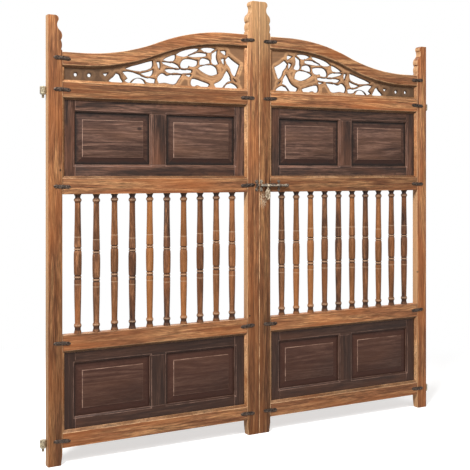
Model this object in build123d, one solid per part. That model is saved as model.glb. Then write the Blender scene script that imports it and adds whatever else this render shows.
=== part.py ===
from build123d import *
from math import atan2, cos, sin
import os

# Double-leaf wooden gate: two stile-and-rail leaves with ogee top rails, pierced carving,
# raised panels and turned spindles, hung on iron pins and held shut by a sliding hasp bolt.
# Millimetres, +Z up, the front of the gate faces -Y. The origin lies at the bottom centre of
# the whole gate. The left leaf is drawn, and the right one is its mirror image.

# Leaves
leaf_width = 1000.0
meeting_gap = 3.0
leaf_thickness = 36.0
stile_width = 60.0
foot_taper = 6.0
foot_taper_height = 45.0

# Heights stacked from the ground: the feet, the five rails and the openings between them
foot_height = 71.0
bottom_rail_height = 60.0
lower_opening = 341.0
lower_rail_height = 65.0
spindle_opening = 583.0
mid_rail_height = 64.0
upper_opening = 340.0
frieze_rail_height = 61.0
carving_end_height = 74.0
top_rail_height = 51.0

# Ogee of the top rail: level at both ends, with two equal arcs between. The stiles' heads
# stand above its two ends.
ogee_rise = 136.0
shoulder_flat = 82.0
crest_flat = 98.0
outer_head = 150.0
inner_head = 158.0

# Joints in the wood
tenon_thickness = 12.0
tenon_length = 45.0
tenon_shoulder = 10.0
groove_depth = 8.0
board_setback = 14.0
unit_thickness = 20.0
fret_thickness = 14.0

# Planted beads round the openings
bead_width = 11.0
bead_slope_depth = 10.0
bead_flush = 1.0
bead_arris = 1.0

# Framed panel units
unit_stile_width = 60.0
unit_rail_height = 60.0
muntin_width = 83.0
panel_edge = 6.0
panel_tongue = 6.0
panel_back = 3.0
panel_bevel = 32.0
panel_step = 2.5
panel_rise = 9.5
sticking_width = 8.0
sticking_depth = 5.0

# Finials carved on the stiles: how far the edge is cut in, at what depth below the top
finial_crown = (28.0, 0.0)
finial_crown_side = (19.5, 5.0)
finial_lobe = (17.0, 22.0)
finial_neck = (22.0, 42.0)
finial_shoulder = (11.0, 62.0)
finial_bulge = (1.0, 80.0)
finial_notch = (7.0, 102.0)
finial_second_bulge = (1.5, 122.0)
finial_end = (5.0, 140.0)
finial_height = 146.0

# Turned spindles, in depths below the mid rail and in radii
spindle_count = 10
spindle_margin = 72.0
spindle_tenon = 14.0
spindle_tenon_length = 14.0
cap_radius = 16.5
neck_depth = 19.0
neck_radius = 11.5
bead_depth = 26.0
bead_radius = 15.5
shaft_depth = 33.0
shaft_radius = 12.0
belly_start = (228.0, 14.5)
belly = (272.0, 17.8)
waist = (330.0, 13.0)
ring = (345.0, 17.0)
base_height = 42.0

# Iron straps nailed over the joints
strap_length = 74.0
strap_height = 17.0
strap_thickness = 3.0
strap_tip = 12.0
strap_overhang = 36.0

# Hinge eyes and pins
eye_radius = 13.0
eye_height = 30.0
eye_gap = 1.0
eye_setback = 9.5
pin_radius = 6.0
pin_clearance = 0.1
eye_shank = 6.0
eye_shank_length = 40.0
upper_eye_rise = 26.0
lower_eye_rise = 23.0
collar_radius = 10.0
collar_height = 3.0
collar_gap = 0.3
tail_radius = 5.0
tail_length = 14.0
pin_stand = 2.0
pin_chamfer = 1.0

# Sliding bolt with its hanging hasp
rod_radius = 5.5
rod_rise = 30.0
rod_stand = 12.0
rod_start = 2.0
rod_end = 134.0
knob_radius = 8.0
knob_length = 18.0
knob_chamfer = 2.0
guide_clearance = 0.1
guide_wall = 3.0
guide_width = 8.0
guide_plate = 2.5
guide_ear_radius = 8.0
guide_ear_offset = 19.0
first_guide_x = 10.5
second_guide_x = 106.0
keeper_x = -13.0
keeper_clearance = 1.2
hasp_x = 41.0
hasp_eye_wall = 2.6
hasp_thickness = 2.6
hasp_width = 26.0
hasp_neck = 14.0
hasp_length = 66.0
hasp_slot_width = 6.0
hasp_slot_length = 20.0
hasp_slot_margin = 8.0

# Places worked out from the sizes above. The whole gate is centred on the origin in depth.
front_reach = leaf_thickness / 2 + rod_stand + rod_radius + guide_clearance + guide_wall
rear_reach = max(leaf_thickness / 2, eye_setback + eye_radius)
leaf_y = (front_reach - rear_reach) / 2
front_y = leaf_y - leaf_thickness / 2
board_y = front_y + board_setback
inner_edge = -meeting_gap / 2
outer_edge = inner_edge - leaf_width
open_left = outer_edge + stile_width
open_right = inner_edge - stile_width
open_width = open_right - open_left
bottom_rail_z = foot_height
bottom_rail_top = bottom_rail_z + bottom_rail_height
lower_rail_z = bottom_rail_top + lower_opening
lower_rail_top = lower_rail_z + lower_rail_height
mid_rail_z = lower_rail_top + spindle_opening
mid_rail_top = mid_rail_z + mid_rail_height
frieze_rail_z = mid_rail_top + upper_opening
frieze_rail_top = frieze_rail_z + frieze_rail_height
shoulder_z = frieze_rail_top + carving_end_height + top_rail_height
crest_z = shoulder_z + ogee_rise
outer_stile_height = shoulder_z + outer_head
inner_stile_height = crest_z + inner_head
hinge_x = outer_edge - eye_gap - eye_radius
hinge_y = leaf_y + eye_setback
rod_y = front_y - rod_stand
rod_z = mid_rail_z + rod_rise
upper_eye_z = frieze_rail_z + upper_eye_rise
lower_eye_z = bottom_rail_z + lower_eye_rise

# Cuts reach this far past what they cut
past = 1.0

# Windows pierced in the carved board, as a carver draws them: each is a closed outline of
# (distance from the inner stile, height above the frieze rail). They leave a deer that lies
# under branches, its head towards the meeting stiles.
carving_width = 880.0
carving_height = 210.0
corner_cut = 0.25
tip_cosine = 0.3
windows = {
    "left_canopy": [(588, 73), (527, 90), (471, 109), (472, 88), (490, 75), (517, 69), (553, 71)],
    "left_thicket": [
        (601, 56), (565, 56), (527, 44), (495, 34), (458, 31), (460, 21), (490, 22), (509, 35),
        (535, 40), (560, 31), (574, 16), (592, 21), (578, 31), (587, 45),
    ],
    "left_arch": [(562, 14), (547, 30), (529, 33), (512, 26), (506, 15), (533, 13)],
    "branch_fork": [(517, 55), (490, 61), (468, 70), (474, 53), (488, 47), (501, 48)],
    "stump_side": [(449, 110), (432, 112), (428, 92), (434, 76), (443, 88)],
    "leaf_top": [(420, 110), (378, 108), (352, 100), (340, 90), (372, 96), (402, 104)],
    "tail_side": [
        (330, 104), (316, 126), (282, 128), (252, 123), (253, 109), (272, 102), (292, 107),
        (300, 93), (322, 91),
    ],
    "upper_leaf": [(411, 121), (385, 133), (361, 143), (363, 125), (387, 117)],
    "crest_left": [
        (348, 149), (315, 164), (280, 173), (246, 179), (266, 165), (294, 153), (314, 145),
        (332, 147),
    ],
    "between_branches": [
        (403, 77), (365, 78), (320, 80), (280, 79), (284, 71), (340, 70), (389, 69),
    ],
    "ground_left": [
        (417, 58), (399, 44), (373, 55), (332, 57), (346, 41), (358, 20), (385, 22), (407, 27),
        (434, 22), (441, 37), (430, 52),
    ],
    "haunch_gap": [(311, 60), (280, 64), (279, 56), (290, 50), (301, 55)],
    "belly_left": [
        (274, 43), (246, 37), (215, 28), (192, 22), (200, 13), (218, 12), (233, 19), (250, 24),
        (265, 14), (277, 20),
    ],
    "belly_right": [
        (158, 25), (136, 33), (116, 50), (98, 86), (86, 66), (81, 47), (98, 40), (111, 24),
        (129, 13), (150, 13),
    ],
    "right_arch": [(106, 14), (98, 27), (77, 31), (59, 24), (46, 14), (75, 12)],
    "neck_window": [
        (104, 139), (89, 150), (66, 132), (38, 118), (48, 94), (57, 70), (71, 84), (77, 108),
        (92, 122),
    ],
    "antler_window": [(134, 177), (119, 182), (104, 182), (100, 170), (104, 158), (119, 164)],
    "throat": [(130, 140), (118, 147), (110, 145), (111, 113), (121, 121)],
    "antler_back": [
        (172, 163), (152, 175), (157, 157), (156, 138), (146, 121), (162, 118), (175, 126),
        (169, 143),
    ],
    "crest_right": [(226, 181), (196, 185), (163, 184), (178, 173), (202, 171)],
    "slit": [(289, 146), (250, 159), (206, 158), (207, 153), (250, 148)],
    "back_window": [(233, 113), (231, 130), (218, 137), (189, 129), (187, 122), (214, 113)],
    "body_window": [(238, 93), (220, 105), (189, 110), (156, 101), (150, 76), (178, 67), (209, 77)],
    "hoof_slit": [(68, 57), (53, 50), (49, 40), (61, 45)],
    "far_gap": [(665, 17), (644, 31), (635, 45), (625, 42), (621, 27), (610, 16), (637, 14)],
    "last_drop": [(697, 46), (673, 48), (680, 35), (688, 33)],
}
round_windows = [(817, 35, 9.0), (757, 35, 9.5)]


def block(x_min, x_max, y_min, y_max, z_min, z_max):
    """A box given by its limits."""
    size = (x_max - x_min, y_max - y_min, z_max - z_min)
    place = Pos((x_min + x_max) / 2, (y_min + y_max) / 2, (z_min + z_max) / 2)
    return place * Box(*size)


def upright(face, y_min, y_max):
    """A face drawn in X and Z, given thickness in Y."""
    return Pos(0, y_min, 0) * extrude(Plane.XZ * face, -(y_max - y_min))


def ogee_line(drop, x_min, x_max):
    """The top rail's upper edge, lowered by drop, from x_min to x_max."""
    half_run = (open_width - shoulder_flat - crest_flat) / 2
    half_rise = ogee_rise / 2
    slope = 2 * atan2(half_rise, half_run)
    radius = half_run / sin(slope)
    start = Vector(open_left + shoulder_flat, shoulder_z - drop)
    middle = start + Vector(half_run, half_rise)
    end = middle + Vector(half_run, half_rise)
    low = start + Vector(radius * sin(slope / 2), radius * (1 - cos(slope / 2)))
    high = end - (low - start)
    return [
        Line((x_min, start.Y), start),
        ThreePointArc(start, low, middle),
        ThreePointArc(middle, high, end),
        Line(end, (x_max, end.Y)),
    ]


def under_ogee(top_drop, x_min, x_max, bottom_z=None, bottom_drop=None):
    """The face between the lowered ogee and a level line or a second, lower ogee."""
    top = ogee_line(top_drop, x_min, x_max)
    if bottom_drop is None:
        floor = [Line((x_min, bottom_z), (x_max, bottom_z))]
        low_z, high_z = bottom_z, bottom_z
    else:
        floor = ogee_line(bottom_drop, x_min, x_max)
        low_z, high_z = shoulder_z - bottom_drop, crest_z - bottom_drop
    sides = [
        Line((x_min, low_z), (x_min, shoulder_z - top_drop)),
        Line((x_max, high_z), (x_max, crest_z - top_drop)),
    ]
    return make_face(Curve() + top + floor + sides)


# Blanks: what stands in the grooves, used for the pieces and for the grooves alike
def unit_blank(z_min, z_max):
    return block(
        open_left - groove_depth, open_right + groove_depth,
        board_y, board_y + unit_thickness,
        z_min - groove_depth, z_max + groove_depth,
    )


def fret_face():
    """The carved board's outline with what stands in the grooves."""
    return under_ogee(
        top_rail_height - groove_depth,
        open_left - groove_depth, open_right + groove_depth,
        bottom_z=frieze_rail_top - groove_depth,
    )


upper_blank = unit_blank(mid_rail_top, frieze_rail_z)
lower_blank = unit_blank(bottom_rail_top, lower_rail_z)
carved_blank = upright(fret_face(), board_y, board_y + fret_thickness)


# Rails
def tenons(z_min, z_max):
    """The two tenons of a rail, which the mortises in the stiles repeat."""
    y_min = leaf_y - tenon_thickness / 2
    y_max = leaf_y + tenon_thickness / 2
    low, high = z_min + tenon_shoulder, z_max - tenon_shoulder
    left = block(open_left - tenon_length, open_left, y_min, y_max, low, high)
    right = block(open_right, open_right + tenon_length, y_min, y_max, low, high)
    return left, right


rail_spans = {
    "bottom_rail": (bottom_rail_z, bottom_rail_top),
    "lower_rail": (lower_rail_z, lower_rail_top),
    "mid_rail": (mid_rail_z, mid_rail_top),
    "frieze_rail": (frieze_rail_z, frieze_rail_top),
}
top_tenons = (
    tenons(shoulder_z - top_rail_height, shoulder_z)[0],
    tenons(crest_z - top_rail_height, crest_z)[1],
)
left_tenons = [tenons(*span)[0] for span in rail_spans.values()] + [top_tenons[0]]
right_tenons = [tenons(*span)[1] for span in rail_spans.values()] + [top_tenons[1]]

spindle_pitch = (open_width - 2 * spindle_margin) / (spindle_count - 1)
spindle_xs = [open_left + spindle_margin + i * spindle_pitch for i in range(spindle_count)]


def spindle_tenon_at(x, z_min):
    """The square end of a spindle, which its socket in the rail repeats."""
    half = spindle_tenon / 2
    z_max = z_min + spindle_tenon_length
    return block(x - half, x + half, leaf_y - half, leaf_y + half, z_min, z_max)


def make_rail(name):
    z_min, z_max = rail_spans[name]
    rail = block(open_left, open_right, front_y, front_y + leaf_thickness, z_min, z_max)
    rail += list(tenons(z_min, z_max))
    rail -= [upper_blank, lower_blank, carved_blank]
    if name == "mid_rail":
        rail -= [spindle_tenon_at(x, z_min) for x in spindle_xs]
    if name == "lower_rail":
        rail -= [spindle_tenon_at(x, z_max - spindle_tenon_length) for x in spindle_xs]
    return rail


def make_top_rail():
    face = under_ogee(0, open_left, open_right, bottom_drop=top_rail_height)
    rail = upright(face, front_y, front_y + leaf_thickness)
    return rail + list(top_tenons) - carved_blank


# Stiles
def finial_cut(edge, top, side):
    """What is carved off one edge of a stile's top; side is -1 on the left edge, 1 on the right."""
    def at(point):
        inset, depth = point
        return edge - side * inset, top - depth

    start = (edge - side * finial_crown[0], top + past)
    end = (edge, top - finial_height)
    outside = (edge + side * past, top - finial_height)
    corner = (edge + side * past, top + past)
    lines = [
        Line(start, at(finial_crown)),
        ThreePointArc(at(finial_crown), at(finial_crown_side), at(finial_lobe)),
        ThreePointArc(at(finial_lobe), at(finial_neck), at(finial_shoulder)),
        ThreePointArc(at(finial_shoulder), at(finial_bulge), at(finial_notch)),
        ThreePointArc(at(finial_notch), at(finial_second_bulge), at(finial_end)),
        Line(at(finial_end), end),
        Line(end, outside),
        Line(outside, corner),
        Line(corner, start),
    ]
    return upright(make_face(Curve() + lines), front_y - past, front_y + leaf_thickness + past)


def foot_cut(edge, side):
    """The slant on the foot's inner side."""
    slant = Polyline((edge, foot_taper_height), (edge - side * foot_taper, 0), (edge, 0), close=True)
    face = make_face(slant)
    return upright(face, front_y - past, front_y + leaf_thickness + past)


def eye_shanks():
    """Square spikes of the hinge eyes, driven into the outer stile's edge."""
    y_min = hinge_y - eye_shank / 2
    point_x = outer_edge + eye_shank_length
    half = eye_shank / 2
    return [
        block(hinge_x, point_x, y_min, y_min + eye_shank, z - half, z + half)
        for z in (upper_eye_z, lower_eye_z)
    ]


def make_outer_stile():
    stile = block(outer_edge, open_left, front_y, front_y + leaf_thickness, 0, outer_stile_height)
    stile -= [upper_blank, lower_blank, carved_blank]
    stile -= left_tenons + eye_shanks()
    return stile - finial_cut(open_left, outer_stile_height, 1) - foot_cut(open_left, 1)


def make_inner_stile():
    stile = block(open_right, inner_edge, front_y, front_y + leaf_thickness, 0, inner_stile_height)
    stile -= [upper_blank, lower_blank, carved_blank]
    stile -= right_tenons
    return stile - finial_cut(open_right, inner_stile_height, -1) - foot_cut(open_right, -1)


# Pierced carving between the ogee rail and the frieze rail
def knife_cut(points):
    """A closed outline whose gentle corners are cut back while its sharp tips stay."""
    cut = []
    for before, corner, after in zip(points[-1:] + points[:-1], points, points[1:] + points[:1]):
        coming = (Vector(*corner) - Vector(*before)).normalized()
        going = (Vector(*after) - Vector(*corner)).normalized()
        if coming.dot(going) < tip_cosine:
            cut.append(corner)
            continue
        for other in (before, after):
            cut.append((
                corner[0] + corner_cut * (other[0] - corner[0]),
                corner[1] + corner_cut * (other[1] - corner[1]),
            ))
    return cut


def carving_place(u, v):
    """A point of the carving in the gate's X and Z, stretched to the board as it is."""
    board_height = crest_z - top_rail_height - frieze_rail_top
    x = open_right - u * open_width / carving_width
    return x, frieze_rail_top + v * board_height / carving_height


def make_fretwork():
    board = fret_face()
    for points in windows.values():
        outline = [carving_place(u, v) for u, v in knife_cut(points)]
        board -= make_face(Polyline(*outline, close=True))
    for u, v, radius in round_windows:
        board -= Pos(*carving_place(u, v)) * Circle(radius)
    return upright(board, board_y, board_y + fret_thickness)


# Beads planted round the openings
def hopper(x_min, x_max, z_min, z_max):
    """The slanted inside of a straight frame of beads."""
    x, z = (x_min + x_max) / 2, (z_min + z_max) / 2
    width, height = x_max - x_min, z_max - z_min
    mouth = Rectangle(width - 2 * bead_arris, height - 2 * bead_arris)
    throat = Rectangle(width - 2 * bead_width, height - 2 * bead_width)
    return loft([
        Pos(x, front_y + bead_flush, z) * Rot(90, 0, 0) * mouth,
        Pos(x, front_y + bead_slope_depth, z) * Rot(90, 0, 0) * throat,
    ])


def mitred_strip(corner_a, corner_b, inner_b, inner_a, cut):
    face = make_face(Polyline(corner_a, corner_b, inner_b, inner_a, close=True))
    strip = upright(face, front_y + bead_flush, board_y)
    return strip - cut


def square_beads(z_min, z_max):
    """Four mitred strips round a rectangular opening."""
    a, b = (open_left, z_min), (open_right, z_min)
    c, d = (open_right, z_max), (open_left, z_max)
    w = bead_width
    e, f = (open_left + w, z_min + w), (open_right - w, z_min + w)
    g, h = (open_right - w, z_max - w), (open_left + w, z_max - w)
    cut = hopper(open_left, open_right, z_min, z_max)
    corners = [(a, b, f, e), (b, c, g, f), (c, d, h, g), (d, a, e, h)]
    return [mitred_strip(*four, cut) for four in corners]


def fret_beads():
    """Three straight strips and one that follows the ogee."""
    z_min = frieze_rail_top
    left_z = shoulder_z - top_rail_height
    right_z = crest_z - top_rail_height
    w = bead_width
    cut = hopper(open_left, open_right, z_min, crest_z)
    a, b = (open_left, z_min), (open_right, z_min)
    e, f = (open_left + w, z_min + w), (open_right - w, z_min + w)
    sill = mitred_strip(a, b, f, e, cut)
    left = mitred_strip(a, (open_left, left_z - w), (open_left + w, left_z - w), e, cut)
    right = mitred_strip(b, (open_right, right_z - w), (open_right - w, right_z - w), f, cut)
    face = under_ogee(top_rail_height, open_left, open_right, bottom_drop=top_rail_height + w)
    curved = upright(face, front_y + bead_flush, board_y)
    front = curved.faces().sort_by(Axis.Y)[0]
    level_edges = [e for e in front.edges() if e.bounding_box().size.X > past]
    return [sill, left, right, chamfer(lower_of(level_edges), bead_slope_depth - bead_flush)]


def lower_of(edges):
    """Of two matching rows of edges, one above the other, the lower row."""
    by_place = sorted(edges, key=lambda e: (round(e.center().X), e.center().Z))
    return by_place[::2]


# Framed units with raised panels
def panel_openings(z_min, z_max):
    """The two rectangles that a unit's frame leaves for its panels."""
    low, high = z_min + unit_rail_height, z_max - unit_rail_height
    left, right = open_left + unit_stile_width, open_right - unit_stile_width
    half = (left + right) / 2
    return [(left, half - muntin_width / 2, low, high), (half + muntin_width / 2, right, low, high)]


def make_panel(x_min, x_max, z_min, z_max):
    back_y = board_y + unit_thickness - panel_back
    tongue_y = back_y - panel_edge
    board = block(
        x_min - panel_tongue, x_max + panel_tongue, tongue_y, back_y,
        z_min - panel_tongue, z_max + panel_tongue,
    )
    middle = ((x_min + x_max) / 2, (z_min + z_max) / 2)
    foot = Pos(middle[0], tongue_y, middle[1]) * Rot(90, 0, 0)
    foot *= Rectangle(x_max - x_min, z_max - z_min)
    width, height = x_max - x_min - 2 * panel_bevel, z_max - z_min - 2 * panel_bevel
    brow_y = tongue_y - panel_rise + panel_step
    brow = Pos(middle[0], brow_y, middle[1]) * Rot(90, 0, 0) * Rectangle(width, height)
    field = block(
        middle[0] - width / 2, middle[0] + width / 2, tongue_y - panel_rise, brow_y,
        middle[1] - height / 2, middle[1] + height / 2,
    )
    return board + loft([foot, brow]) + field


def panel_groove(x_min, x_max, z_min, z_max):
    back_y = board_y + unit_thickness - panel_back
    return block(
        x_min - panel_tongue, x_max + panel_tongue, back_y - panel_edge, back_y,
        z_min - panel_tongue, z_max + panel_tongue,
    )


def sticking_cut(x_min, x_max, z_min, z_max):
    """The slanted moulding round one panel's opening."""
    middle = ((x_min + x_max) / 2, (z_min + z_max) / 2)
    w = 2 * sticking_width
    width, height = x_max - x_min, z_max - z_min
    wide = Pos(middle[0], board_y, middle[1]) * Rot(90, 0, 0) * Rectangle(width + w, height + w)
    deep = Pos(middle[0], board_y + sticking_depth, middle[1]) * Rot(90, 0, 0) * Rectangle(width, height)
    return loft([wide, deep])


def make_unit_frame(z_min, z_max):
    """Two stiles, two rails and a muntin, moulded and grooved for the panels."""
    y_min, y_max = board_y, board_y + unit_thickness
    low, high = z_min - groove_depth, z_max + groove_depth
    rail_low, rail_high = z_min + unit_rail_height, z_max - unit_rail_height
    left, right = open_left + unit_stile_width, open_right - unit_stile_width
    half = (left + right) / 2
    members = [
        block(open_left - groove_depth, left, y_min, y_max, low, high),
        block(right, open_right + groove_depth, y_min, y_max, low, high),
        block(left, right, y_min, y_max, low, rail_low),
        block(left, right, y_min, y_max, rail_high, high),
        block(half - muntin_width / 2, half + muntin_width / 2, y_min, y_max, rail_low, rail_high),
    ]
    openings = panel_openings(z_min, z_max)
    cuts = [panel_groove(*opening) for opening in openings]
    cuts += [sticking_cut(*opening) for opening in openings]
    return [member - cuts for member in members]


# Turned spindles
def make_spindle(x):
    top, foot = mid_rail_z, lower_rail_top
    profile = [
        (0, top),
        (cap_radius, top),
        (neck_radius, top - neck_depth),
        (bead_radius, top - bead_depth),
        (shaft_radius, top - shaft_depth),
        (belly_start[1], top - belly_start[0]),
        (belly[1], top - belly[0]),
        (waist[1], top - waist[0]),
        (ring[1], top - ring[0]),
        (shaft_radius, foot + base_height),
        (cap_radius, foot),
        (0, foot),
    ]
    face = make_face(Polyline(*profile, close=True))
    turned = Pos(x, leaf_y, 0) * revolve(Plane.XZ * face, Axis.Z)
    lower_tenon = spindle_tenon_at(x, foot - spindle_tenon_length)
    return turned + [spindle_tenon_at(x, top), lower_tenon]


# Iron straps, tapered to both ends
def make_strap(joint_x, z):
    """A strap over the joint at joint_x, with its middle at height z."""
    half = strap_length / 2
    face = make_face(Polyline(
        (-half, 0), (-half + strap_tip, strap_height / 2), (half - strap_tip, strap_height / 2),
        (half, 0), (half - strap_tip, -strap_height / 2), (-half + strap_tip, -strap_height / 2),
        close=True,
    ))
    return Pos(joint_x, 0, z) * upright(face, front_y - strap_thickness, front_y)


def make_straps():
    middles = [(low + high) / 2 for low, high in rail_spans.values()]
    left_x = open_left + strap_overhang - strap_length / 2
    right_x = open_right - strap_overhang + strap_length / 2
    straps = [make_strap(left_x, z) for z in middles + [shoulder_z - top_rail_height / 2]]
    straps += [make_strap(right_x, z) for z in middles + [crest_z - top_rail_height / 2]]
    return straps


# Hinges
def make_eyes():
    ring = Cylinder(eye_radius, eye_height)
    bore = Cylinder(pin_radius + pin_clearance, eye_height)
    eyes = []
    for shank, z in zip(eye_shanks(), (upper_eye_z, lower_eye_z)):
        place = Pos(hinge_x, hinge_y, z)
        eyes.append(place * ring + shank - place * bore)
    return eyes


def make_pin(z):
    """A pin through one eye, the collar that carries the eye, and a tail for the wall bracket."""
    eye_bottom = z - eye_height / 2
    collar_top = eye_bottom - collar_gap
    tail_top = collar_top - collar_height
    pin_top = z + eye_height / 2 + pin_stand
    profile = [
        (0, pin_top), (pin_radius - pin_chamfer, pin_top), (pin_radius, pin_top - pin_chamfer),
        (pin_radius, collar_top), (collar_radius, collar_top), (collar_radius, tail_top),
        (tail_radius, tail_top), (tail_radius, tail_top - tail_length), (0, tail_top - tail_length),
    ]
    face = make_face(Polyline(*profile, close=True))
    return Pos(hinge_x, hinge_y, 0) * revolve(Plane.XZ * face, Axis.Z)


# Bolt, guides, keeper and hasp, on the right leaf apart from the keeper
def along_x(radius, x_min, x_max):
    """A round bar on the bolt's axis."""
    return Pos((x_min + x_max) / 2, rod_y, rod_z) * Rot(0, 90, 0) * Cylinder(radius, x_max - x_min)


def make_guide(x, clearance):
    """A bridge over the rod with a round ear above and below it."""
    outer = rod_radius + guide_clearance + guide_wall
    x_min, x_max = x - guide_width / 2, x + guide_width / 2
    guide = along_x(outer, x_min, x_max)
    guide += block(x_min, x_max, rod_y, front_y, rod_z - outer, rod_z + outer)
    reach = guide_ear_offset
    guide += block(x_min, x_max, front_y - guide_plate, front_y, rod_z - reach, rod_z + reach)
    for side in (-1, 1):
        ear = Rot(90, 0, 0) * Cylinder(guide_ear_radius, guide_plate)
        guide += Pos(x, front_y - guide_plate / 2, rod_z + side * reach) * ear
    return guide - along_x(rod_radius + clearance, x_min - past, x_max + past)


def make_rod():
    rod = along_x(rod_radius, rod_start, rod_end)
    knob = along_x(knob_radius, rod_end, rod_end + knob_length)
    return rod + chamfer(knob.edges(), knob_chamfer)


def make_hasp():
    """A tongue that hangs from the rod by its eye, with a slot near its lower end."""
    neck_half, half = guide_width / 2, hasp_width / 2
    bore_radius = rod_radius + guide_clearance
    ring = along_x(bore_radius + hasp_eye_wall, hasp_x - neck_half, hasp_x + neck_half)
    shoulder, low = rod_z - hasp_neck, rod_z - hasp_length
    right_side = [
        (neck_half, rod_z - rod_radius), (neck_half, shoulder), (half, shoulder - half),
        (half, low + half), (neck_half, low),
    ]
    left_side = [(-x, z) for x, z in reversed(right_side)]
    outline = Polyline(*[(hasp_x + x, z) for x, z in right_side + left_side], close=True)
    plate = upright(make_face(outline), rod_y - hasp_thickness / 2, rod_y + hasp_thickness / 2)
    slot_low = low + hasp_slot_margin
    slot = block(
        hasp_x - hasp_slot_width / 2, hasp_x + hasp_slot_width / 2,
        rod_y - hasp_thickness, rod_y + hasp_thickness, slot_low, slot_low + hasp_slot_length,
    )
    bore = along_x(bore_radius, hasp_x - guide_width, hasp_x + guide_width)
    return ring + plate - slot - bore


def make_leaf():
    """Every wooden piece and iron fitting that both leaves share, as they lie on the left."""
    pieces = {
        "outer_stile": make_outer_stile(),
        "inner_stile": make_inner_stile(),
        "top_rail": make_top_rail(),
        "fretwork": make_fretwork(),
        "opening_beads": (
            square_beads(bottom_rail_top, lower_rail_z)
            + square_beads(mid_rail_top, frieze_rail_z)
            + fret_beads()
        ),
        "upper_panel_frame": make_unit_frame(mid_rail_top, frieze_rail_z),
        "lower_panel_frame": make_unit_frame(bottom_rail_top, lower_rail_z),
        "iron_straps": make_straps(),
        "hinge_eyes": make_eyes(),
    }
    for name in rail_spans:
        pieces[name] = make_rail(name)
    spans = {"upper": (mid_rail_top, frieze_rail_z), "lower": (bottom_rail_top, lower_rail_z)}
    for level, span in spans.items():
        outer, inner = panel_openings(*span)
        pieces[level + "_outer_panel"] = make_panel(*outer)
        pieces[level + "_inner_panel"] = make_panel(*inner)
    for number, x in enumerate(spindle_xs, start=1):
        pieces[f"spindle_{number:02d}"] = make_spindle(x)
    return pieces


def solids_of(shape):
    """A list of the single solids in a piece or a list of pieces."""
    if isinstance(shape, list):
        return [solid for item in shape for solid in item.solids()]
    return list(shape.solids())


def write(name, shape):
    solids = solids_of(shape)
    whole = solids[0] if len(solids) == 1 else Compound(children=solids)
    export_step(whole, f"parts/{name}.step")


os.makedirs("parts", exist_ok=True)
for piece, form in make_leaf().items():
    write("left_" + piece, form)
    write("right_" + piece, [mirror(solid, about=Plane.YZ) for solid in solids_of(form)])
pins = [make_pin(z) for z in (upper_eye_z, lower_eye_z)]
write("hinge_pins", pins + [mirror(pin, about=Plane.YZ) for pin in pins])
write("bolt_rod", make_rod())
write("bolt_guides", [make_guide(x, guide_clearance) for x in (first_guide_x, second_guide_x)])
write("bolt_keeper", make_guide(keeper_x, keeper_clearance))
write("hasp_tongue", make_hasp())
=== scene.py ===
import bmesh
import bpy
from math import cos, hypot, pi, radians, sin
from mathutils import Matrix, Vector, noise
from mathutils.geometry import delaunay_2d_cdt
from random import Random


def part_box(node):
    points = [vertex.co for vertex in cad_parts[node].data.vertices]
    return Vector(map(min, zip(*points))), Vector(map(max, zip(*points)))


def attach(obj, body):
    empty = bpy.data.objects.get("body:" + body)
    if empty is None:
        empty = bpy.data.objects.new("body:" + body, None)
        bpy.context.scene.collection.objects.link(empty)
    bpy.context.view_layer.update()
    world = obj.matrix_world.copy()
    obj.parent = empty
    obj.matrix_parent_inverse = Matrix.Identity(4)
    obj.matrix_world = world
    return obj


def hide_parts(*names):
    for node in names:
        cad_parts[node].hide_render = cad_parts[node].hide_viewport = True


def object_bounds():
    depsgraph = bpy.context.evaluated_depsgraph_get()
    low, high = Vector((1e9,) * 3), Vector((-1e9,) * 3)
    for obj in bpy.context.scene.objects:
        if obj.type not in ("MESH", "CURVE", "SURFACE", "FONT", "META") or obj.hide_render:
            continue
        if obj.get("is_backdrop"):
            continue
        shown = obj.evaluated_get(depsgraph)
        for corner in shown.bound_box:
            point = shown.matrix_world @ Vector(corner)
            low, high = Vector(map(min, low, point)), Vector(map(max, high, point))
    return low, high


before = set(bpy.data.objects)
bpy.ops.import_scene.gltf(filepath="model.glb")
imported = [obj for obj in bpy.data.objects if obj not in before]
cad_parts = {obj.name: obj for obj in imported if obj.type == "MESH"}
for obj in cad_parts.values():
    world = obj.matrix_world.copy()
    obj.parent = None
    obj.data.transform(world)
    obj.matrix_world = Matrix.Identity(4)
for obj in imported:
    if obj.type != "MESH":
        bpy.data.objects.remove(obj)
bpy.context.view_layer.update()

# Studio: the gate stands on a pale floor in front of white, lit by a soft lamp high on the front
# left, a weak one in front and one behind for the back. The camera stands left of the gate at
# chest height, level, and the frame is shifted down so that the feet are in view.
scene = bpy.context.scene
scene.view_settings.view_transform = "Standard"
camera_data = bpy.data.cameras.new("camera")
camera_data.lens = 68.94
camera_data.sensor_width = 36.0
camera_data.shift_y = -0.1326
camera_data.clip_end = 200.0
camera = bpy.data.objects.new("camera", camera_data)
camera.location = (-2.1103, -3.6110, 1.2098)
camera.rotation_euler = (radians(90), 0, radians(-28.835))
scene.collection.objects.link(camera)
scene.camera = camera


def place(tree, kind, inputs=None, **settings):
    """A node with its settings, and its inputs given as values or as another node's outputs."""
    node = tree.nodes.new(kind)
    for key, value in settings.items():
        setattr(node, key, value)
    for key, value in (inputs or {}).items():
        if isinstance(value, bpy.types.NodeSocket):
            tree.links.new(value, node.inputs[key])
        else:
            node.inputs[key].default_value = value
    return node


def reckon(tree, how, first, second=0.5):
    """One sum, such as MULTIPLY or ABSOLUTE, worked out over the surface."""
    return place(tree, "ShaderNodeMath", {0: first, 1: second}, operation=how).outputs[0]


def ranged(tree, value, low=0.0, high=1.0, to_low=0.0, to_high=1.0, soft=False):
    """The value carried from one range to another, and held at the second one's ends."""
    kind = "SMOOTHSTEP" if soft else "LINEAR"
    inputs = {0: value, 1: low, 2: high, 3: to_low, 4: to_high}
    return place(tree, "ShaderNodeMapRange", inputs, interpolation_type=kind).outputs[0]


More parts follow.
